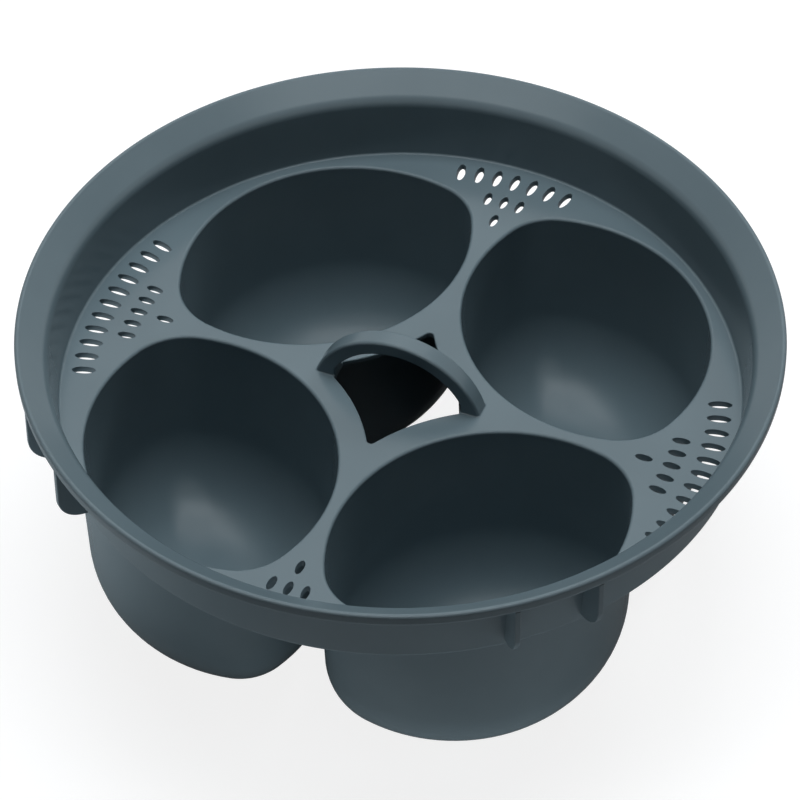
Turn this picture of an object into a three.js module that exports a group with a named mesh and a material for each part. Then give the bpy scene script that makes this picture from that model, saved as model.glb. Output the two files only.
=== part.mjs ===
import * as THREE from "three";

// An egg steamer insert: a vented deck with four egg cups under it, ringed by a flared rim that
// stands on a pot by eight ribs, with a fixed arch over the middle opening to lift it by.
// Millimetres, +Z up. The cups stand on z = 0, the rim's axis is Z and the handle runs along X.

// Deck and rim
const deckRadius = 92; // inside the wall, at the deck
const deckThickness = 1.8;
const wallThickness = 1.8;
const wallHeight = 18.2; // from the deck to the bend
const wallLean = 1.8; // how far the wall leans out over that height
const bendRound = 5; // inside of the bend from the wall to the flange
const flangeReach = 8.6; // from the bend out to the lip's face
const flangeRise = 6.3; // from the bend up to the lip's top edge, before that is rounded
const lipHeight = 4.2; // the lip's upright outer face, before its edge is rounded
const lipRound = 0.5; // along the lip's top edge

// Egg cups, each a four-arc oval at the mouth
const cupDepth = 61; // from the deck's top to the table
const cupWall = 1.8;
const cupClearance = 0.2; // from a cup to the plane between it and its neighbour
const cupLedge = 3.2; // deck left between a mouth and the rim's wall
const cupOuterCurve = 46.7; // mouth's radius on the rim's side
const cupOuterAim = THREE.MathUtils.degToRad(48.4); // from X to the middle of that side
const cupInnerCurve = 46.45; // mouth's radius on the handle's side
const cupSideCorner = 18.4; // mouth's corner radius beside the X axis
const cupEndCorner = 16.2; // mouth's corner radius beside the Y axis
const cupDraft = THREE.MathUtils.degToRad(2.2);
const cupRound = 26.7; // height of the rounding from a cup's side to its base
const cupPad = 7; // half the width of the flat that a cup stands on

// Middle opening, and steam vents that are ellipses pointing at the rim's axis
const openingWeb = 8.1; // deck left between the opening and a mouth
const openingCorner = 1.2; // corner radius of the opening's two free ends
const ventMargin = 2.65; // deck left between the outer row and the wall
const ventRowGap = 2.75; // deck left between two rows
const ventPitch = THREE.MathUtils.degToRad(3.5);
const ventLeastWeb = 1.2; // a vent nearer to a mouth than this is left out
const ventLengths = [6.7, 5.1, 5]; // outer row first
const ventWidths = [2.6, 2.3, 2.3];
const sideVents = [11, 5, 1]; // vents in each row, in the groups on X
const endVents = [7, 3, 1]; // vents in each row, in the groups on Y

// Lifting handle
const handleSpan = 47.5; // outside its feet
const handleRise = 17.7; // from the deck to its crown
const handleBar = 3.5; // depth of the arch's bar
const handleWidth = 6;
const footLength = 5.7; // along X
const footLap = 0.2; // deck that shows between a foot and the opening

// Ribs under the lip
const ribThickness = 1.6;
const ribAim = THREE.MathUtils.degToRad(44.7); // from X to the middle of a pair
const ribSpread = THREE.MathUtils.degToRad(6.5); // from the middle of a pair to each rib
const ribInset = 0.2; // how far the ribs stay behind the lip's face
const ribLift = 1.4; // from the deck's top up to the ribs' lower ends
const seatGap = 0.3; // clearance where a rib follows the rim

// Finish
const plasticColour = 0x5c6a71;
const plasticRoughness = 0.5;

// Facets
const rimSteps = 80;
const roundSteps = 4;
const sideSteps = 12; // on each long side of a mouth
const cornerSteps = 6;
const baseSteps = 7; // down a cup's rounding
const ventSteps = 14;
const openingSteps = 8;
const handleSteps = 24;

const quarterTurn = Math.PI / 2;
const quarters = [
  ["back_right", 1, 1],
  ["back_left", -1, 1],
  ["front_left", -1, -1],
  ["front_right", 1, -1],
];

function point(x, y) {
  return new THREE.Vector2(x, y);
}

function polar(radius, angle) {
  return point(radius * Math.cos(angle), radius * Math.sin(angle));
}

// Both ends are included
function arc(centre, radius, from, to, steps) {
  const points = [];
  for (let i = 0; i <= steps; i += 1) {
    points.push(polar(radius, from + ((to - from) * i) / steps).add(centre));
  }
  return points;
}

function angleTo(from, target) {
  return Math.atan2(target.y - from.y, target.x - from.x);
}

// Where two lines cross, each given by a point and a direction
function crossing(start, direction, other, otherDirection) {
  const along = other.clone().sub(start).cross(otherDirection) / direction.cross(otherDirection);
  return start.clone().addScaledVector(direction, along);
}

// An arc in place of a corner, from the side before it to the side after it
function rounded(before, corner, after, radius, steps) {
  const back = before.clone().sub(corner).normalize();
  const ahead = after.clone().sub(corner).normalize();
  const half = back.angleTo(ahead) / 2;
  const middle = back.clone().add(ahead).normalize();
  const centre = corner.clone().addScaledVector(middle, radius / Math.sin(half));
  const from = angleTo(centre, corner.clone().addScaledVector(back, radius / Math.tan(half)));
  const turn = Math.sign(ahead.cross(back)) * (Math.PI - 2 * half);
  return arc(centre, radius, from, from + turn, steps);
}

// Lines of the rim's section, as radius and height above the deck's top
const wallRun = point(wallLean, wallHeight);
const flangeRun = point(flangeReach, flangeRise);
const wallFoot = point(deckRadius, 0);
const wallOuterFoot = point(deckRadius + wallThickness, 0);
const bend = wallFoot.clone().add(wallRun);
const lipTop = bend.clone().add(flangeRun);
const lipUnderside = lipTop.y - lipHeight;
const flangeDown = point(flangeRise, -flangeReach).normalize();

// Corners of the rim's underside, or of a line kept clear of it
function undersideCorners(clear) {
  const wallStart = wallOuterFoot.clone().add(point(clear, 0));
  const flangeStart = bend.clone().addScaledVector(flangeDown, wallThickness + clear);
  const level = point(lipTop.x, lipUnderside - clear);
  return {
    wallStart,
    flat: crossing(flangeStart, flangeRun, level, point(1, 0)),
    bend: crossing(wallStart, wallRun, flangeStart, flangeRun),
  };
}

function rimCollar() {
  const under = undersideCorners(0);
  const lipFoot = point(lipTop.x, lipUnderside);
  const section = [
    wallFoot,
    wallOuterFoot,
    ...rounded(wallOuterFoot, under.bend, under.flat, bendRound - wallThickness, roundSteps),
    under.flat,
    lipFoot,
    ...rounded(lipFoot, lipTop, bend, lipRound, roundSteps),
    ...rounded(lipTop, bend, wallFoot, bendRound, roundSteps),
    wallFoot,
  ];
  return new THREE.LatheGeometry(section, rimSteps).rotateX(quarterTurn);
}

// The two long arcs of a mouth in the quarter with positive X and Y
const outerCentre = polar(deckRadius - cupLedge - cupOuterCurve, cupOuterAim);
const halfWeb = cupWall + cupClearance;
const innerCentre = point(cupInnerCurve + halfWeb, cupInnerCurve + halfWeb);
const cupHalfWidth = (cupOuterCurve + cupInnerCurve - outerCentre.distanceTo(innerCentre)) / 2;

// The centre of the corner that touches both long arcs from inside; side is -1 by X and 1 by Y
function cornerCentre(outerRadius, innerRadius, cornerRadius, side) {
  const line = innerCentre.clone().sub(outerCentre);
  const apart = line.length();
  const outerReach = outerRadius - cornerRadius;
  const innerReach = innerRadius - cornerRadius;
  const along = (outerReach ** 2 - innerReach ** 2 + apart ** 2) / (2 * apart);
  const across = Math.sqrt(outerReach ** 2 - along ** 2);
  const direction = line.normalize();
  return outerCentre
    .clone()
    .addScaledVector(direction, along)
    .add(point(-direction.y, direction.x).multiplyScalar(side * across));
}

// Corners shrink in step with the cup's width
function cornerRadius(radius, inset) {
  return radius * (1 - inset / cupHalfWidth);
}

// A mouth's outline drawn in by inset, counter-clockwise, with no point twice
function cupOutline(inset) {
  const outer = cupOuterCurve - inset;
  const inner = cupInnerCurve - inset;
  const sideRadius = cornerRadius(cupSideCorner, inset);
  const endRadius = cornerRadius(cupEndCorner, inset);
  const side = cornerCentre(outer, inner, sideRadius, -1);
  const end = cornerCentre(outer, inner, endRadius, 1);
  const stretches = [
    [outerCentre, outer, angleTo(outerCentre, side), angleTo(outerCentre, end), sideSteps],
    [end, endRadius, angleTo(outerCentre, end), angleTo(innerCentre, end), cornerSteps],
    [innerCentre, inner, angleTo(innerCentre, end), angleTo(innerCentre, side), sideSteps],
    [side, sideRadius, angleTo(innerCentre, side), angleTo(outerCentre, side), cornerSteps],
  ];
  return stretches.flatMap(([centre, radius, from, to, steps]) => {
    const past = to < from ? to + 2 * Math.PI : to;
    return arc(centre, radius, from, past, steps).slice(0, -1);
  });
}

// A loop in the quarter with these signs, still counter-clockwise
function inQuarter(points, signX, signY) {
  const placed = points.map(({ x, y }) => point(signX * x, signY * y));
  return signX * signY < 0 ? placed.reverse() : placed;
}

// The levels of one skin of a cup, from the deck's underside to the base; outside lies cupWall out
function cupLevels(outward) {
  const base = cupDepth - cupWall + outward;
  const straight = cupDepth - cupRound;
  const sideInset = (straight - deckThickness) * Math.tan(cupDraft) - outward;
  const padInset = cupHalfWidth - cupPad;
  const levels = [{ inset: -outward, drop: deckThickness }];
  for (const { x, y } of arc(point(0, 0), 1, 0, quarterTurn, baseSteps)) {
    levels.push({
      inset: padInset - (padInset - sideInset) * x,
      drop: straight + (base - straight) * y,
    });
  }
  return levels;
}

function eggCup(signX, signY) {
  const positions = [];
  const triangles = [];
  const addRing = ({ inset, drop }) => {
    const first = positions.length / 3;
    const loop = inQuarter(cupOutline(inset), signX, signY);
    loop.forEach(({ x, y }) => positions.push(x, y, -drop));
    return loop.map((_, i) => first + i);
  };
  const joinRings = (upper, lower) => {
    upper.forEach((corner, i) => {
      const next = (i + 1) % upper.length;
      triangles.push(corner, lower[i], lower[next]);
      triangles.push(corner, lower[next], upper[next]);
    });
  };
  const closeRing = (ring) => {
    for (let i = 1; i < ring.length - 1; i += 1) {
      triangles.push(ring[0], ring[i + 1], ring[i]);
    }
  };
  const outside = cupLevels(cupWall).map(addRing);
  const inside = cupLevels(0).map(addRing).map((ring) => ring.reverse());
  for (const skin of [outside, inside]) {
    skin.slice(1).forEach((ring, i) => joinRings(skin[i], ring));
    closeRing(skin.at(-1));
  }
  joinRings(inside[0].toReversed(), outside[0]);
  const geometry = new THREE.BufferGeometry();
  geometry.setAttribute("position", new THREE.Float32BufferAttribute(positions, 3));
  geometry.setIndex(triangles);
  geometry.computeVertexNormals();
  return geometry;
}

const handleHalf = handleSpan / 2;
const archRadius = (handleHalf ** 2 + handleRise ** 2) / (2 * handleRise);
const archCentre = point(0, handleRise - archRadius);
const archInner = archRadius - handleBar;
const footInside = Math.min(handleHalf - footLength, Math.sqrt(archInner ** 2 - archCentre.y ** 2));

// Four arcs that keep openingWeb from the cups. The ends on X stop at the handle's feet.
function middleOpening() {
  const radius = cupInnerCurve + openingWeb;
  const cornerHeight = Math.sqrt((radius + openingCorner) ** 2 - innerCentre.x ** 2);
  const freeEnd = point(0, innerCentre.y - cornerHeight);
  const endX = Math.min(footInside - footLap, freeEnd.y);
  const endY = innerCentre.y - Math.sqrt(radius ** 2 - (innerCentre.x - endX) ** 2);
  const from = angleTo(innerCentre, point(endX, endY)) + 2 * Math.PI;
  const to = angleTo(innerCentre, freeEnd) + 2 * Math.PI;
  const quarter = [
    ...arc(innerCentre, radius, from, to, openingSteps),
    ...arc(freeEnd, openingCorner, to - Math.PI, quarterTurn, roundSteps).slice(1),
  ];
  const half = [...quarter, ...inQuarter(quarter, -1, 1).slice(1)];
  return [...half, ...inQuarter(half, -1, -1)];
}

function isClearOfCups({ x, y }) {
  const spot = point(Math.abs(x), Math.abs(y));
  const past = Math.max(
    spot.distanceTo(outerCentre) - cupOuterCurve,
    spot.distanceTo(innerCentre) - cupInnerCurve,
  );
  return past > ventLeastWeb;
}

// One group of vents, in rows that shorten towards the middle
function ventGroup(counts, middle) {
  const vents = [];
  let rowEnd = deckRadius - ventMargin;
  counts.forEach((count, row) => {
    const long = ventLengths[row] / 2;
    const short = ventWidths[row] / 2;
    for (let i = 0; i < count; i += 1) {
      const angle = middle + (i - (count - 1) / 2) * ventPitch;
      const { x, y } = polar(rowEnd - long, angle);
      const ellipse = new THREE.EllipseCurve(x, y, long, short, 0, 2 * Math.PI, false, angle);
      const outline = ellipse.getPoints(ventSteps).slice(0, -1);
      if (outline.every(isClearOfCups)) {
        vents.push(outline);
      }
    }
    rowEnd -= ventLengths[row] + ventRowGap;
  });
  return vents;
}

function ventedDeck() {
  const edge = arc(point(0, 0), wallOuterFoot.x, 0, 2 * Math.PI, rimSteps).slice(0, -1);
  const mouths = quarters.map(([, signX, signY]) => inQuarter(cupOutline(0), signX, signY));
  const vents = [sideVents, endVents, sideVents, endVents].flatMap((counts, turn) =>
    ventGroup(counts, turn * quarterTurn),
  );
  const plate = new THREE.Shape(edge);
  plate.holes = [...mouths, middleOpening(), ...vents].map((points) => new THREE.Path(points));
  return new THREE.ExtrudeGeometry(plate, { depth: deckThickness, bevelEnabled: false });
}

function liftingHandle() {
  const footTop = archCentre.y + Math.sqrt(archInner ** 2 - footInside ** 2);
  const outerEnd = angleTo(archCentre, point(handleHalf, 0));
  const innerEnd = angleTo(archCentre, point(footInside, footTop));
  const side = new THREE.Shape([
    ...arc(archCentre, archRadius, outerEnd, Math.PI - outerEnd, handleSteps),
    point(-footInside, 0),
    ...arc(archCentre, archInner, Math.PI - innerEnd, innerEnd, handleSteps),
    point(footInside, 0),
  ]);
  const geometry = new THREE.ExtrudeGeometry(side, { depth: handleWidth, bevelEnabled: false });
  return geometry.translate(0, 0, -handleWidth / 2).rotateX(quarterTurn);
}

// An upright plate with a quarter-round lower corner, drawn as radius and height
function rimRib() {
  const under = undersideCorners(seatGap);
  const face = lipTop.x - ribInset;
  const foot = point(under.wallStart.x + (wallLean * ribLift) / wallHeight, ribLift);
  const round = face - foot.x;
  const side = new THREE.Shape([
    ...arc(point(foot.x, ribLift + round), round, -quarterTurn, 0, cornerSteps),
    point(face, lipUnderside - seatGap),
    under.flat,
    under.bend,
  ]);
  const geometry = new THREE.ExtrudeGeometry(side, { depth: ribThickness, bevelEnabled: false });
  return geometry.translate(0, 0, -ribThickness / 2).rotateX(quarterTurn);
}

const insert = new THREE.Group();
const deckLevel = new THREE.Group();
deckLevel.position.z = cupDepth;
insert.add(deckLevel);

function addPiece(name, geometry) {
  const material = new THREE.MeshStandardMaterial({
    color: plasticColour,
    roughness: plasticRoughness,
    metalness: 0,
  });
  const piece = new THREE.Mesh(geometry, material);
  piece.name = name;
  deckLevel.add(piece);
  return piece;
}

addPiece("rim_collar", rimCollar());
addPiece("vented_deck", ventedDeck()).position.z = -deckThickness;
addPiece("lifting_handle", liftingHandle());
for (const [name, signX, signY] of quarters) {
  const middle = Math.atan2(signY * Math.sin(ribAim), signX * Math.cos(ribAim));
  addPiece(`egg_cup_${name}`, eggCup(signX, signY));
  addPiece(`rim_rib_${name}_1`, rimRib()).rotation.z = middle - ribSpread;
  addPiece(`rim_rib_${name}_2`, rimRib()).rotation.z = middle + ribSpread;
}

export default insert;
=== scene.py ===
import math

import bmesh
import bpy
from mathutils import Matrix, Vector
from mathutils.geometry import delaunay_2d_cdt


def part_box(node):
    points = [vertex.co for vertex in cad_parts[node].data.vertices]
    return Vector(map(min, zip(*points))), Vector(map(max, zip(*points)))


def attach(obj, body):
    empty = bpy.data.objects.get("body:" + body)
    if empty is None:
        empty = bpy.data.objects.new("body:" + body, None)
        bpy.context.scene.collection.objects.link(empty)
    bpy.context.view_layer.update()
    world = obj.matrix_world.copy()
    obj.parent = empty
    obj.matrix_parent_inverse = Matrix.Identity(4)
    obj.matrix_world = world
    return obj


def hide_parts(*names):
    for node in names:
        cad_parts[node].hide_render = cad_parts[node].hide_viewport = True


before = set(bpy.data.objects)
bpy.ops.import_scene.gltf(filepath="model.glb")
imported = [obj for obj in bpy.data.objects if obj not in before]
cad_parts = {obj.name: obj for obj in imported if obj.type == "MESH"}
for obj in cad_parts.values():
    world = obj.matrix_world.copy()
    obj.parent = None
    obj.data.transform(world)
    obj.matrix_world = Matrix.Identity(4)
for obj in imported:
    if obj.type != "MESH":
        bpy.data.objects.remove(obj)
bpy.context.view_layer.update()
print("frame loaded:", len(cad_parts), "solids")

# An egg steamer insert in moulded plastic: vented deck, four egg cups, flared rim, arch and ribs.
# Sizes are in millimetres with heights counted from the deck's top, and meshes are made in metres.
mm = 0.001
quarterTurn = math.pi / 2

deckLow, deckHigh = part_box("vented_deck")
deckTop = deckHigh.z / mm                        # above the table
deckThickness = (deckHigh.z - deckLow.z) / mm
deckEdge = deckHigh.x / mm                       # the deck's and the wall's outer radius at the deck


# Outlines

cornerSteps = 8              # on a rounded corner, where no other number is given


def polar(radius, angle):
    return Vector((radius * math.cos(angle), radius * math.sin(angle)))


def angleTo(start, target):
    return math.atan2(target.y - start.y, target.x - start.x)


def arc(centre, radius, start, end, steps):      # both ends are included
    return [centre + polar(radius, start + (end - start) * i / steps) for i in range(steps + 1)]


def crossing(start, direction, other, otherDirection):   # where two lines cross
    along = (other - start).cross(otherDirection) / direction.cross(otherDirection)
    return start + direction * along


def roundCorner(before, corner, after, radius, steps=cornerSteps):   # an arc in place of a corner
    back = (before - corner).normalized()
    ahead = (after - corner).normalized()
    half = back.angle(ahead) / 2
    centre = corner + (back + ahead).normalized() * radius / math.sin(half)
    start = angleTo(centre, corner + back * radius / math.tan(half))
    turn = math.copysign(math.pi - 2 * half, ahead.cross(back))
    return arc(centre, radius, start, start + turn, steps)


# Meshes

shading = {
    "sharpAngle": 35,        # degrees, edges steeper than this stay crisp
    "mergeGap": 0.001,       # points nearer than this are one
    "bevelSteps": 3,
}


def addRing(corners, points):                    # points as (x, y, height), gives their numbers
    first = len(corners)
    corners.extend(points)
    return list(range(first, len(corners)))


def joinRings(faces, upper, lower):
    for i in range(len(upper)):
        j = (i + 1) % len(upper)
        faces.append((upper[i], lower[i], lower[j], upper[j]))


def joinRow(faces, rings):                       # each ring to the next
    for upper, lower in zip(rings, rings[1:]):
        joinRings(faces, upper, lower)


def atHeight(outline, height):
    return [(p.x, p.y, height) for p in outline]


def makePiece(node, corners, faces, material, edgeRound=0):   # in place of the solid of that node
    name = f"{node}_moulded"
    mesh = bpy.data.meshes.new(name)
    mesh.from_pydata([(x * mm, y * mm, (deckTop + z) * mm) for x, y, z in corners], [], faces)
    shell = bmesh.new()
    shell.from_mesh(mesh)
    bmesh.ops.remove_doubles(shell, verts=shell.verts, dist=shading["mergeGap"] * mm)
    bmesh.ops.recalc_face_normals(shell, faces=shell.faces)
    shell.to_mesh(mesh)
    shell.free()
    mesh.shade_smooth()
    mesh.set_sharp_from_angle(angle=math.radians(shading["sharpAngle"]))
    mesh.materials.append(material)
    piece = bpy.data.objects.new(name, mesh)
    bpy.context.scene.collection.objects.link(piece)
    if edgeRound:
        soften = piece.modifiers.new("soft edges", "BEVEL")
        soften.width = edgeRound * mm
        soften.segments = shading["bevelSteps"]
        soften.angle_limit = math.radians(shading["sharpAngle"])
    even = piece.modifiers.new("flats stay flat", "WEIGHTED_NORMAL")
    even.keep_sharp = True
    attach(piece, "root")
    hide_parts(node)


# Material

def linear(hexColour):                           # sRGB hex to linear RGBA
    channels = [int(hexColour[i:i + 2], 16) / 255 for i in (1, 3, 5)]
    return [c / 12.92 if c < 0.04045 else ((c + 0.055) / 1.055) ** 2.4 for c in channels] + [1]


def addNode(tree, kind, settings=None, inputs=None, links=None):
    node = tree.nodes.new("ShaderNode" + kind)
    for name, value in (settings or {}).items():
        setattr(node, name, value)
    for name, value in (inputs or {}).items():
        node.inputs[name].default_value = value
    for name, socket in (links or {}).items():
        tree.links.new(socket, node.inputs[name])
    return node


def newMaterial(name):
    material = bpy.data.materials.new(name)
    material.use_nodes = True
    material.node_tree.nodes.clear()
    return material, material.node_tree


plastic = {
    "colour": "#5a6b73",
    "paler": "#5f7078",
    "cloudSize": 38,         # slow drift of the pigment, mm across
    "cloudDetail": 3,
    "cloudBand": (0.35, 0.65),   # where the drift turns from one colour to the other
    "grainSize": 0.9,        # spark-eroded mould grain, drawn four times coarser than it is
    "grainDetail": 2,
    "grainDepth": 0.012,
    "grainStrength": 0.35,
    "roughness": (0.23, 0.27),
    "ior": 1.49,
    "gloss": 0.28,           # grain and pigment take nearly half of the clear surface's shine
}


# Moulded polypropylene off a fine spark-eroded tool: dull satin, dark slate through and through,
# soft broad highlights, a faint drift in the pigment and a grain just short of being seen.
def mouldedPolypropylene():
    material, tree = newMaterial("moulded polypropylene")
    place = addNode(tree, "TexCoord").outputs["Object"]
    cloud = addNode(tree, "TexNoise", inputs={"Scale": 1 / (plastic["cloudSize"] * mm),
                                              "Detail": plastic["cloudDetail"]},
                    links={"Vector": place})
    tint = addNode(tree, "ValToRGB", links={"Fac": cloud.outputs["Fac"]})
    for stop, position, colour in zip(tint.color_ramp.elements, plastic["cloudBand"],
                                      (plastic["colour"], plastic["paler"])):
        stop.position = position
        stop.color = linear(colour)
    grain = addNode(tree, "TexNoise", inputs={"Scale": 1 / (plastic["grainSize"] * mm),
                                              "Detail": plastic["grainDetail"]},
                    links={"Vector": place})
    dull = addNode(tree, "MapRange", inputs={"To Min": plastic["roughness"][0],
                                             "To Max": plastic["roughness"][1]},
                   links={"Value": grain.outputs["Fac"]})
    relief = addNode(tree, "Bump", inputs={"Strength": plastic["grainStrength"],
                                           "Distance": plastic["grainDepth"] * mm},
                     links={"Height": grain.outputs["Fac"]})
    shader = addNode(tree, "BsdfPrincipled", inputs={"IOR": plastic["ior"],
                                                     "Specular IOR Level": plastic["gloss"]},
                     links={"Base Color": tint.outputs["Color"], "Roughness": dull.outputs["Result"],
                            "Normal": relief.outputs["Normal"]})
    addNode(tree, "OutputMaterial", links={"Surface": shader.outputs["BSDF"]})
    return material


polypropylene = mouldedPolypropylene()
print("material ready:", polypropylene.name)


# Rim: upright wall, flange and lip, one section turned about the axis

rim = {
    "wall": 1.8,
    "wallHeight": 18.2,      # from the deck to the bend
    "wallLean": 1.8,         # outwards over that height
    "bendRound": 5,
    "flangeReach": 8.6,
    "flangeRise": 6.62,
    "lipHeight": 4.82,
    "lipRound": 0.85,        # the lip's top edge
    "lipFootRound": 1.5,     # its lower edge
    "hollowRound": 0.6,      # where the flange meets the lip's underside
    "footRound": 0.7,        # from the wall to the deck
    "lipSteps": 12,
    "bendSteps": 14,
    "steps": 288,            # round the axis
}
deckRadius = deckEdge - rim["wall"]
wallRun = Vector((rim["wallLean"], rim["wallHeight"]))
flangeRun = Vector((rim["flangeReach"], rim["flangeRise"]))
wallFoot = Vector((deckRadius, 0))
outerFoot = Vector((deckEdge, 0))
bend = wallFoot + wallRun
lipTop = bend + flangeRun
lipUnderside = lipTop.y - rim["lipHeight"]
flangeDown = Vector((rim["flangeRise"], -rim["flangeReach"])).normalized()


def undersideCorners(clear):                     # of the rim, or of a line kept clear of it
    wallStart = outerFoot + Vector((clear, 0))
    flangeStart = bend + flangeDown * (rim["wall"] + clear)
    level = Vector((lipTop.x, lipUnderside - clear))
    bendCorner = crossing(wallStart, wallRun, flangeStart, flangeRun)
    flatCorner = crossing(flangeStart, flangeRun, level, Vector((1, 0)))
    return wallStart, bendCorner, flatCorner


def turnedRings(corners, section):               # a section turned about the axis
    turns = [2 * math.pi * i / rim["steps"] for i in range(rim["steps"])]
    return [addRing(corners, [(p.x * math.cos(a), p.x * math.sin(a), p.y) for a in turns])
            for p in section]


def rimCollar():
    underBend, underFlat = undersideCorners(0)[1:]
    lipFoot = Vector((lipTop.x, lipUnderside))
    deckInside = Vector((0, 0))
    section = [
        outerFoot,
        *roundCorner(outerFoot, underBend, underFlat, rim["bendRound"] - rim["wall"]),
        *roundCorner(underBend, underFlat, lipFoot, rim["hollowRound"]),
        *roundCorner(underFlat, lipFoot, lipTop, rim["lipFootRound"]),
        *roundCorner(lipFoot, lipTop, bend, rim["lipRound"], rim["lipSteps"]),
        *roundCorner(lipTop, bend, wallFoot, rim["bendRound"], rim["bendSteps"]),
        *roundCorner(bend, wallFoot, deckInside, rim["footRound"]),
    ]
    corners, faces = [], []
    rings = turnedRings(corners, section)
    joinRow(faces, [rings[-1], *rings])
    makePiece("rim_collar", corners, faces, polypropylene)


rimCollar()
print("rim turned")


# Egg cups: four-arc ovals drawn in with depth, rounded to a small flat

cup = {
    "wall": 1.8,
    "clearance": 0.2,        # from a cup to the plane between it and its neighbour
    "ledge": 3.2,            # deck left between a mouth and the rim's wall
    "outerCurve": 46.7,      # mouth's radius on the rim's side
    "outerAim": 48.4,        # degrees from X to the middle of that side
    "innerCurve": 46.45,     # mouth's radius on the handle's side
    "sideCorner": 18.4,      # mouth's corner beside the X axis
    "endCorner": 16.2,       # and beside the Y axis
    "draft": 2.2,            # degrees
    "round": 26.7,           # height of the rounding to the base
    "pad": 7,                # half the width of the flat that it stands on
    "rootRound": 0.8,        # from the outside to the deck's underside
    "sideSteps": 36,
    "cornerSteps": 18,
    "wallSteps": 8,
    "baseSteps": 22,
    "rootSteps": 6,
}
outerCentre = polar(deckRadius - cup["ledge"] - cup["outerCurve"], math.radians(cup["outerAim"]))
innerReach = cup["innerCurve"] + cup["wall"] + cup["clearance"]
innerCentre = Vector((innerReach, innerReach))
cupHalfWidth = (cup["outerCurve"] + cup["innerCurve"] - (outerCentre - innerCentre).length) / 2
quarters = [("back_right", 1, 1), ("back_left", -1, 1), ("front_left", -1, -1), ("front_right", 1, -1)]


def cornerCentre(outer, inner, corner, side):    # touches both long arcs; side is -1 by X, 1 by Y
    line = innerCentre - outerCentre
    apart = line.length
    along = ((outer - corner) ** 2 - (inner - corner) ** 2 + apart ** 2) / (2 * apart)
    across = math.sqrt((outer - corner) ** 2 - along ** 2)
    line.normalize()
    return outerCentre + line * along + Vector((-line.y, line.x)) * side * across


def cupOutline(inset):                           # a mouth drawn in by inset, counter-clockwise
    outer = cup["outerCurve"] - inset
    inner = cup["innerCurve"] - inset
    shrink = 1 - inset / cupHalfWidth
    sideRadius = cup["sideCorner"] * shrink
    endRadius = cup["endCorner"] * shrink
    side = cornerCentre(outer, inner, sideRadius, -1)
    end = cornerCentre(outer, inner, endRadius, 1)
    stretches = [
        (outerCentre, outer, angleTo(outerCentre, side), angleTo(outerCentre, end), cup["sideSteps"]),
        (end, endRadius, angleTo(outerCentre, end), angleTo(innerCentre, end), cup["cornerSteps"]),
        (innerCentre, inner, angleTo(innerCentre, end), angleTo(innerCentre, side), cup["sideSteps"]),
        (side, sideRadius, angleTo(innerCentre, side), angleTo(outerCentre, side), cup["cornerSteps"]),
    ]
    outline = []
    for centre, radius, start, stop, steps in stretches:
        past = stop + 2 * math.pi if stop < start else stop
        outline += arc(centre, radius, start, past, steps)[:-1]
    return outline


def inQuarter(outline, signX, signY):            # mirrored into another quarter, counter-clockwise
    placed = [Vector((signX * p.x, signY * p.y)) for p in outline]
    return placed[::-1] if signX * signY < 0 else placed


def cupLevels(outward):                          # (inset, drop) from the deck's underside to the base
    base = deckTop - cup["wall"] + outward
    straight = deckTop - cup["round"]
    sideInset = (straight - deckThickness) * math.tan(math.radians(cup["draft"])) - outward
    padInset = cupHalfWidth - cup["pad"]
    levels = []
    for i in range(cup["wallSteps"]):
        share = i / cup["wallSteps"]
        levels.append((-outward + (sideInset + outward) * share,
                       deckThickness + (straight - deckThickness) * share))
    for i in range(cup["baseSteps"] + 1):
        turn = quarterTurn * i / cup["baseSteps"]
        levels.append((padInset - (padInset - sideInset) * math.cos(turn),
                       straight + (base - straight) * math.sin(turn)))
    return levels


def eggCup(name, signX, signY):
    corners, faces = [], []

    def skin(levels):
        rings = [addRing(corners, atHeight(inQuarter(cupOutline(inset), signX, signY), -drop))
                 for inset, drop in levels]
        joinRow(faces, rings)
        faces.append(rings[-1])
        return rings[0]

    root = [(-cup["wall"] - cup["rootRound"] * (1 - p.x), deckThickness + cup["rootRound"] * (1 - p.y))
            for p in arc(Vector((0, 0)), 1, quarterTurn, 0, cup["rootSteps"])]
    outside = skin(root + cupLevels(cup["wall"])[1:])
    inside = skin(cupLevels(0))
    joinRings(faces, outside, inside)
    makePiece(f"egg_cup_{name}", corners, faces, polypropylene)


for name, signX, signY in quarters:
    eggCup(name, signX, signY)
print("cups made:", len(quarters))


# Lifting handle: an arch whose feet stand beside the middle opening

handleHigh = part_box("lifting_handle")[1]
handle = {
    "bar": 4.4,              # depth of the arch's bar
    "slim": 0.3,             # narrower on each side than its solid
    "lift": 0.3,             # and higher by this
    "footLength": 5.7,       # along X
    "topRound": 0.9,         # the bar's upper edges
    "underRound": 0.75,      # its lower edges
    "footRound": 0.35,       # from a foot to the deck
    "sink": 0.8,             # how far the feet reach into the deck
    "archSteps": 56,
    "footSteps": 10,
    "roundSteps": 6,         # on each rounded edge
}
handleHalf = handleHigh.x / mm
handleRise = handleHigh.z / mm - deckTop + handle["lift"]
handleHalfWidth = handleHigh.y / mm - handle["slim"]
archRadius = (handleHalf ** 2 + handleRise ** 2) / (2 * handleRise)
archCentre = Vector((0, handleRise - archRadius))
archInner = archRadius - handle["bar"]
footInside = min(handleHalf - handle["footLength"], math.sqrt(archInner ** 2 - archCentre.y ** 2))


def archPoint(height):                           # on the right half of the arch's upper side
    return Vector((math.sqrt(archRadius ** 2 - (height - archCentre.y) ** 2), height))


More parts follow.
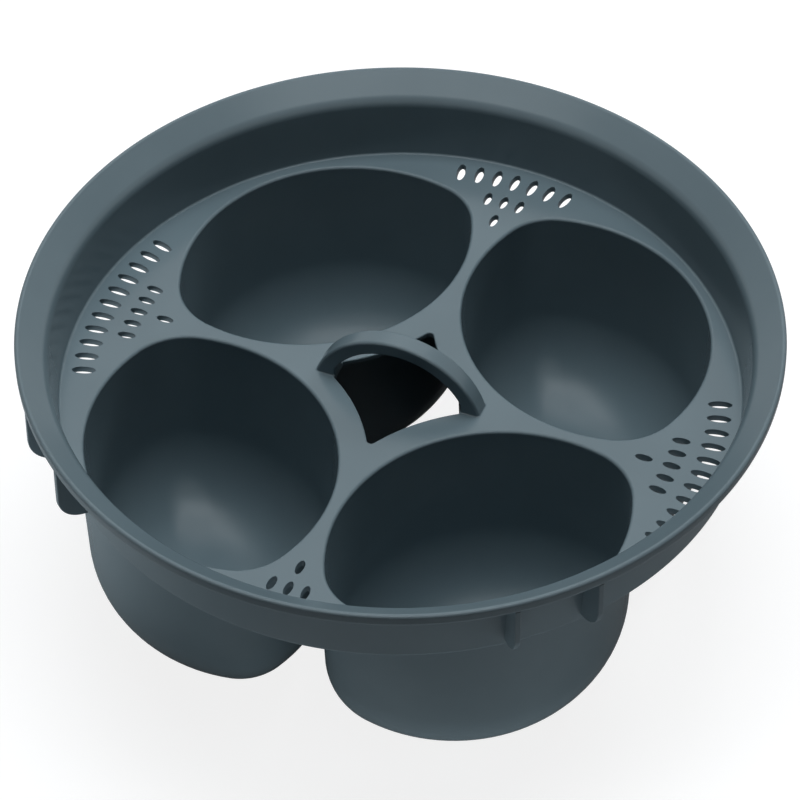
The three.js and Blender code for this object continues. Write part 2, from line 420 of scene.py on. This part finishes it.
def barSection(outer, inner, grow):              # rounded bar between two points of its side view
    across = (outer - inner).normalized()
    depth = ((outer - inner).length + grow) / 2  # the inner side doesn't grow over the opening
    width = handleHalfWidth + grow
    middle = inner + across * depth
    square = [Vector((-width, -depth)), Vector((width, -depth)),
              Vector((width, depth)), Vector((-width, depth))]
    rounds = [handle["underRound"], handle["underRound"], handle["topRound"], handle["topRound"]]
    outline = []
    for i, corner in enumerate(square):
        following = square[(i + 1) % len(square)]
        outline += roundCorner(square[i - 1], corner, following, rounds[i], handle["roundSteps"])
    return [(middle.x + across.x * p.y, p.x, middle.y + across.y * p.y) for p in outline]


def liftingHandle():
    footHeight = archCentre.y + math.sqrt(archInner ** 2 - footInside ** 2)
    flare = handle["footRound"]
    spread = math.atan2(footHeight - archCentre.y, footInside)
    stations = []                                # (outer, inner, grow) from the crown to the right foot
    for i in range(handle["archSteps"] // 2 + 1):
        angle = quarterTurn + (spread - quarterTurn) * i / (handle["archSteps"] // 2)
        stations.append((archCentre + polar(archRadius, angle), archCentre + polar(archInner, angle), 0))
    outerStart = stations[-1][0].y
    for i in range(1, handle["footSteps"] + 1):
        share = i / handle["footSteps"]
        outer = archPoint(outerStart + (flare - outerStart) * share)
        stations.append((outer, Vector((footInside, footHeight + (flare - footHeight) * share)), 0))
    for p in arc(Vector((1, 1)), 1, math.pi, 3 * quarterTurn, handle["roundSteps"])[1:]:
        height = flare * p.y
        stations.append((archPoint(height), Vector((footInside, height)), flare * p.x))
    outer, inner, grow = stations[-1]
    down = Vector((0, -handle["sink"]))
    stations.append((outer + down, inner + down, grow))

    corners, faces = [], []
    right = [barSection(*station) for station in stations]
    left = [[(-x, y, z) for x, y, z in section] for section in right[:0:-1]]
    rings = [addRing(corners, section) for section in left + right]
    joinRow(faces, rings)
    faces.extend([rings[0], rings[-1]])
    makePiece("lifting_handle", corners, faces, polypropylene)


liftingHandle()
print("handle bent over the opening")


# Deck: a plate with four mouths, the middle opening and the steam vents

deck = {
    "openingWeb": 8.1,       # deck left between the opening and a mouth
    "openingCorner": 1.2,
    "footLap": 0.05,         # how far a foot's face stands over the opening
    "ventMargin": 2.75,      # from the outer row to the wall
    "ventRowGap": 2.95,
    "ventPitch": 3.5,        # degrees
    "ventLeastWeb": 1.2,     # a vent nearer to a mouth than this is left out
    "ventLengths": (6.5, 4.9, 4.8),
    "ventWidths": (2.4, 2.1, 2.1),
    "sideVents": (11, 5, 1),
    "endVents": (7, 3, 1),
    "mouthRound": 0.9,
    "openingRound": 0.4,
    "ventRound": 0.15,
    "ventDraft": 0.2,        # how much narrower a vent is all round at its lower edge
    "ventSteps": 28,
    "openingSteps": 24,      # on each of the opening's arcs
    "openingCornerSteps": 8,
    "edgeRound": 1.7,        # the outer lower edge
    "roundSteps": 5,
    "flatGap": 0.000001,     # points of a flat nearer than this are one
}


def middleOpening(out):                          # four arcs beside the cups, grown by out
    radius = cup["innerCurve"] + deck["openingWeb"] - out
    corner = deck["openingCorner"] + out
    freeEnd = Vector((0, innerCentre.y - math.sqrt((radius + corner) ** 2 - innerCentre.x ** 2)))
    endX = min(footInside + deck["footLap"], freeEnd.y) + out   # cut short at the handle's feet
    endY = innerCentre.y - math.sqrt(radius ** 2 - (innerCentre.x - endX) ** 2)
    start = angleTo(innerCentre, Vector((endX, endY))) + 2 * math.pi
    stop = angleTo(innerCentre, freeEnd) + 2 * math.pi
    quarter = arc(innerCentre, radius, start, stop, deck["openingSteps"])
    quarter += arc(freeEnd, corner, stop - math.pi, quarterTurn, deck["openingCornerSteps"])[1:]
    half = quarter + inQuarter(quarter, -1, 1)[1:]
    return half + inQuarter(half, -1, -1)


def clearOfCups(spot):
    corner = Vector((abs(spot.x), abs(spot.y)))
    past = max((corner - outerCentre).length - cup["outerCurve"],
               (corner - innerCentre).length - cup["innerCurve"])
    return past > deck["ventLeastWeb"]


def ventOutline(radius, angle, length, width, out):   # an ellipse pointing at the axis, grown by out
    turn = Matrix.Rotation(angle, 2)
    ring = [polar(1, 2 * math.pi * i / deck["ventSteps"]) for i in range(deck["ventSteps"])]
    return [polar(radius, angle) + turn @ Vector((p.x * (length / 2 + out), p.y * (width / 2 + out)))
            for p in ring]


def ventPlaces():                                # (radius, angle, length, width) of each vent
    places = []
    for turn, counts in enumerate([deck["sideVents"], deck["endVents"]] * 2):
        rowEnd = deckRadius - deck["ventMargin"]
        for count, length, width in zip(counts, deck["ventLengths"], deck["ventWidths"]):
            for i in range(count):
                angle = turn * quarterTurn + (i - (count - 1) / 2) * math.radians(deck["ventPitch"])
                place = (rowEnd - length / 2, angle, length, width)
                if all(clearOfCups(spot) for spot in ventOutline(*place, 0)):
                    places.append(place)
            rowEnd -= length + deck["ventRowGap"]
    return places


def insideOutline(spot, outline):
    within = False
    for i, b in enumerate(outline):
        a = outline[i - 1]
        if (a.y > spot.y) != (b.y > spot.y):
            if spot.x < a.x + (spot.y - a.y) * (b.x - a.x) / (b.y - a.y):
                within = not within
    return within


def fillFlat(corners, faces, edge, holes):       # rings of point numbers in one level plane
    rings = [edge, *holes]
    numbers = [n for ring in rings for n in ring]
    flat = [Vector(corners[n][:2]) for n in numbers]
    order = {n: i for i, n in enumerate(numbers)}
    edges = [(order[ring[i - 1]], order[ring[i]]) for ring in rings for i in range(len(ring))]
    triangles = delaunay_2d_cdt(flat, edges, [], 0, deck["flatGap"])[2]
    outlines = [[flat[order[n]] for n in ring] for ring in rings]
    for triangle in triangles:
        middle = sum((flat[i] for i in triangle), Vector((0, 0))) / 3
        inHole = any(insideOutline(middle, outline) for outline in outlines[1:])
        if insideOutline(middle, outlines[0]) and not inHole:
            faces.append([numbers[i] for i in triangle])


def edgeLevels(topRound, underRound, draft=0):   # (out, drop) down a cut's wall with its edges rounded
    turn = [quarterTurn * i / deck["roundSteps"] for i in range(deck["roundSteps"] + 1)]
    levels = [(topRound * (1 - math.sin(a)), topRound * (1 - math.cos(a))) for a in turn]
    if underRound:
        levels += [(underRound * (1 - math.cos(a)) - draft,
                    deckThickness - underRound * (1 - math.sin(a))) for a in turn]
    else:
        levels.append((0, deckThickness))
    return levels


def ventedDeck():
    cuts = [(lambda out, x=signX, y=signY: inQuarter(cupOutline(-out), x, y),
             edgeLevels(deck["mouthRound"], 0)) for _, signX, signY in quarters]
    cuts.append((middleOpening, edgeLevels(deck["openingRound"], deck["openingRound"])))
    cuts += [(lambda out, place=place: ventOutline(*place, out),
              edgeLevels(deck["ventRound"], deck["ventRound"], deck["ventDraft"]))
             for place in ventPlaces()]

    corners, faces = [], []
    tops, bottoms = [], []
    for outline, levels in cuts:
        rings = [addRing(corners, atHeight(outline(out), -drop)) for out, drop in levels]
        joinRow(faces, rings)
        tops.append(rings[0])
        bottoms.append(rings[-1])

    lean = rim["wallLean"] / rim["wallHeight"]
    edge = [Vector((deckEdge, 0)),
            *roundCorner(Vector((deckEdge, 0)),
                         Vector((deckEdge - lean * deckThickness, -deckThickness)),
                         Vector((0, -deckThickness)), deck["edgeRound"])]
    rings = turnedRings(corners, edge)
    joinRow(faces, rings)
    fillFlat(corners, faces, rings[0], tops)
    fillFlat(corners, faces, rings[-1], bottoms)
    makePiece("vented_deck", corners, faces, polypropylene)


ventedDeck()
print("deck cut, vents:", len(ventPlaces()))


# Ribs under the lip, in four pairs

rib = {
    "thickness": 1.6,
    "aim": 44.7,             # degrees from X to the middle of a pair
    "spread": 6.5,           # from there to each rib
    "inset": 0.2,            # behind the lip's face
    "lift": 1.4,             # from the deck's top up to the lower end
    "sink": 0.5,             # into the wall and the lip that it is moulded to
    "edgeRound": 0.25,
    "roundSteps": 14,
}


def rimRib(name, angle):
    wallStart, underBend, underFlat = undersideCorners(-rib["sink"])
    face = lipTop.x - rib["inset"]
    foot = crossing(wallStart, wallRun, Vector((0, rib["lift"])), Vector((1, 0)))
    curve = face - foot.x - rib["sink"]          # radius of the lower corner
    side = [foot,
            *arc(Vector((face - curve, rib["lift"] + curve)), curve, -quarterTurn, 0, rib["roundSteps"]),
            Vector((face, underFlat.y)), underFlat, underBend]
    turn = Matrix.Rotation(angle, 3, "Z")
    corners, faces = [], []
    rings = [addRing(corners, [turn @ Vector((p.x, half, p.y)) for p in side])
             for half in (-rib["thickness"] / 2, rib["thickness"] / 2)]
    joinRings(faces, *rings)
    faces.extend(rings)
    makePiece(f"rim_rib_{name}", corners, faces, polypropylene, rib["edgeRound"])


for name, signX, signY in quarters:
    aim = polar(1, math.radians(rib["aim"]))
    middle = math.atan2(signY * aim.y, signX * aim.x)
    rimRib(f"{name}_1", middle - math.radians(rib["spread"]))
    rimRib(f"{name}_2", middle + math.radians(rib["spread"]))
print("ribs set under the lip:", 2 * len(quarters))


# Floor, light and camera

studio = {
    "floorSize": 6000,
    "floorColour": "#888b8e",
    "floorGlow": 0.85,       # lifts the grey paper to white for the camera
    "mirrorGlow": 0.15,      # share of that glow in reflections, where the floor's own light shows too
    "shadowReach": 120,      # how far from the object that share is shaded
    "worldColour": "#ffffff",
    "worldLight": 0.01,      # on the object, while the camera and reflections see the world at 1
    # each lamp: towards the camera, to its right, above the floor, width, depth, watts
    "lamps": {               # these light the plastic and don't show in its sheen
        "overhead lamp": (-110, 0, 960, 600, 560, 7.5),
        "far right lamp": (-950, 750, 960, 500, 500, 6.8),
        "far left lamp": (-950, -750, 960, 500, 500, 1.6),
        "front card": (125, 75, 1, 280, 90, 0.08),
        "left card": (20, -190, 1, 130, 220, 0.38),
    },
    "sheen": {               # these show in its sheen only
        "softbox": (140, -60, 960, 960, 780, 5.5),
        "back softbox": (-800, 0, 960, 1200, 600, 2.8),
    },
}


view = {
    "azimuth": 22.2,         # degrees
    "elevation": 46.21,
    "roll": -0.28,
    "distance": 1154.6,      # from the deck's middle
    "lens": 192.9,
    "sensor": 36,
    "aimDown": 3.45,         # where the picture's middle lies from the deck's middle
    "aimLeft": 0.19,
}


def seenRays(tree, mirrorShare=None):            # 1 to the camera, 1 or a share in reflections
    path = addNode(tree, "LightPath")
    shiny = addNode(tree, "Math", {"operation": "MAXIMUM"},
                    links={0: path.outputs["Is Glossy Ray"], 1: path.outputs["Is Transmission Ray"]})
    if mirrorShare:
        shiny = addNode(tree, "Math", {"operation": "MULTIPLY"},
                        links={0: shiny.outputs["Value"], 1: mirrorShare})
    seen = addNode(tree, "Math", {"operation": "MAXIMUM"},
                   links={0: path.outputs["Is Camera Ray"], 1: shiny.outputs["Value"]})
    return seen.outputs["Value"]


# Matt white studio paper: an even pale ground that takes a soft shadow
def studioPaper():
    material, tree = newMaterial("matt studio paper")
    unshaded = addNode(tree, "AmbientOcclusion", inputs={"Distance": studio["shadowReach"] * mm})
    shaded = addNode(tree, "Math", {"operation": "MULTIPLY"}, {1: studio["mirrorGlow"]},
                     {0: unshaded.outputs["AO"]})
    seen = seenRays(tree, shaded.outputs["Value"])
    glow = addNode(tree, "Math", {"operation": "MULTIPLY"}, {1: studio["floorGlow"]}, {0: seen})
    paper = addNode(tree, "BsdfDiffuse", inputs={"Color": linear(studio["floorColour"])})
    light = addNode(tree, "Emission", links={"Strength": glow.outputs["Value"]})
    both = addNode(tree, "AddShader", links={0: paper.outputs["BSDF"], 1: light.outputs["Emission"]})
    under = addNode(tree, "NewGeometry").outputs["Backfacing"]
    clear = addNode(tree, "BsdfTransparent")     # from under the floor the object can be seen
    sheet = addNode(tree, "MixShader", links={0: under, 1: both.outputs["Shader"],
                                              2: clear.outputs["BSDF"]})
    addNode(tree, "OutputMaterial", links={"Surface": sheet.outputs["Shader"]})
    return material


def studioFloor():
    half = studio["floorSize"] * mm / 2
    mesh = bpy.data.meshes.new("floor")
    mesh.from_pydata([(-half, -half, 0), (half, -half, 0), (half, half, 0), (-half, half, 0)],
                     [], [(0, 1, 2, 3)])
    mesh.materials.append(studioPaper())
    floor = bpy.data.objects.new("floor", mesh)
    bpy.context.scene.collection.objects.link(floor)


def backVector(azimuth, elevation):              # from the object towards the camera
    a, e = math.radians(azimuth), math.radians(elevation)
    return Vector((math.sin(a) * math.cos(e), -math.cos(a) * math.cos(e), math.sin(e)))


def addLamp(name, front, right, height, width, depth, watts):
    lamp = bpy.data.lights.new(name, "AREA")
    lamp.shape = "RECTANGLE"
    lamp.size = width * mm
    lamp.size_y = depth * mm
    lamp.energy = watts
    holder = bpy.data.objects.new(name, lamp)
    place = Matrix.Rotation(math.radians(view["azimuth"]), 4, "Z")
    place.translation = place @ Vector((right, -front, height)) * mm
    facing = Matrix.Rotation(math.pi if height < deckTop else 0, 4, "X")   # a low one shines upwards
    holder.matrix_world = place @ facing
    holder.visible_camera = False
    bpy.context.scene.collection.objects.link(holder)
    return holder


def studioLight():
    world = bpy.data.worlds.new("studio")
    bpy.context.scene.world = world
    world.use_nodes = True
    tree = world.node_tree
    tree.nodes.clear()
    strength = addNode(tree, "MapRange", inputs={"To Min": studio["worldLight"]},
                       links={"Value": seenRays(tree)})
    sky = addNode(tree, "Background", inputs={"Color": linear(studio["worldColour"])},
                  links={"Strength": strength.outputs["Result"]})
    addNode(tree, "OutputWorld", links={"Surface": sky.outputs["Background"]})
    for name, values in studio["lamps"].items():
        addLamp(name, *values).visible_glossy = False
    for name, values in studio["sheen"].items():
        addLamp(name, *values).visible_diffuse = False


def photoCamera():
    deckCentre = Vector((0, 0, deckTop * mm))
    lens = bpy.data.cameras.new("camera")
    lens.lens = view["lens"]
    lens.sensor_width = view["sensor"]
    camera = bpy.data.objects.new("camera", lens)
    back = backVector(view["azimuth"], view["elevation"])
    level = back.to_track_quat("Z", "Y").to_matrix()
    aim = deckCentre - (level.col[1] * view["aimDown"] + level.col[0] * view["aimLeft"]) * mm
    camera.location = deckCentre + back * view["distance"] * mm
    facing = (camera.location - aim).to_track_quat("Z", "Y")
    roll = Matrix.Rotation(math.radians(view["roll"]), 4, "Z")
    camera.matrix_world = Matrix.Translation(camera.location) @ facing.to_matrix().to_4x4() @ roll
    bpy.context.scene.collection.objects.link(camera)
    bpy.context.scene.camera = camera


studioFloor()
studioLight()
photoCamera()
bpy.context.scene.view_settings.view_transform = "Standard"
print("studio set")
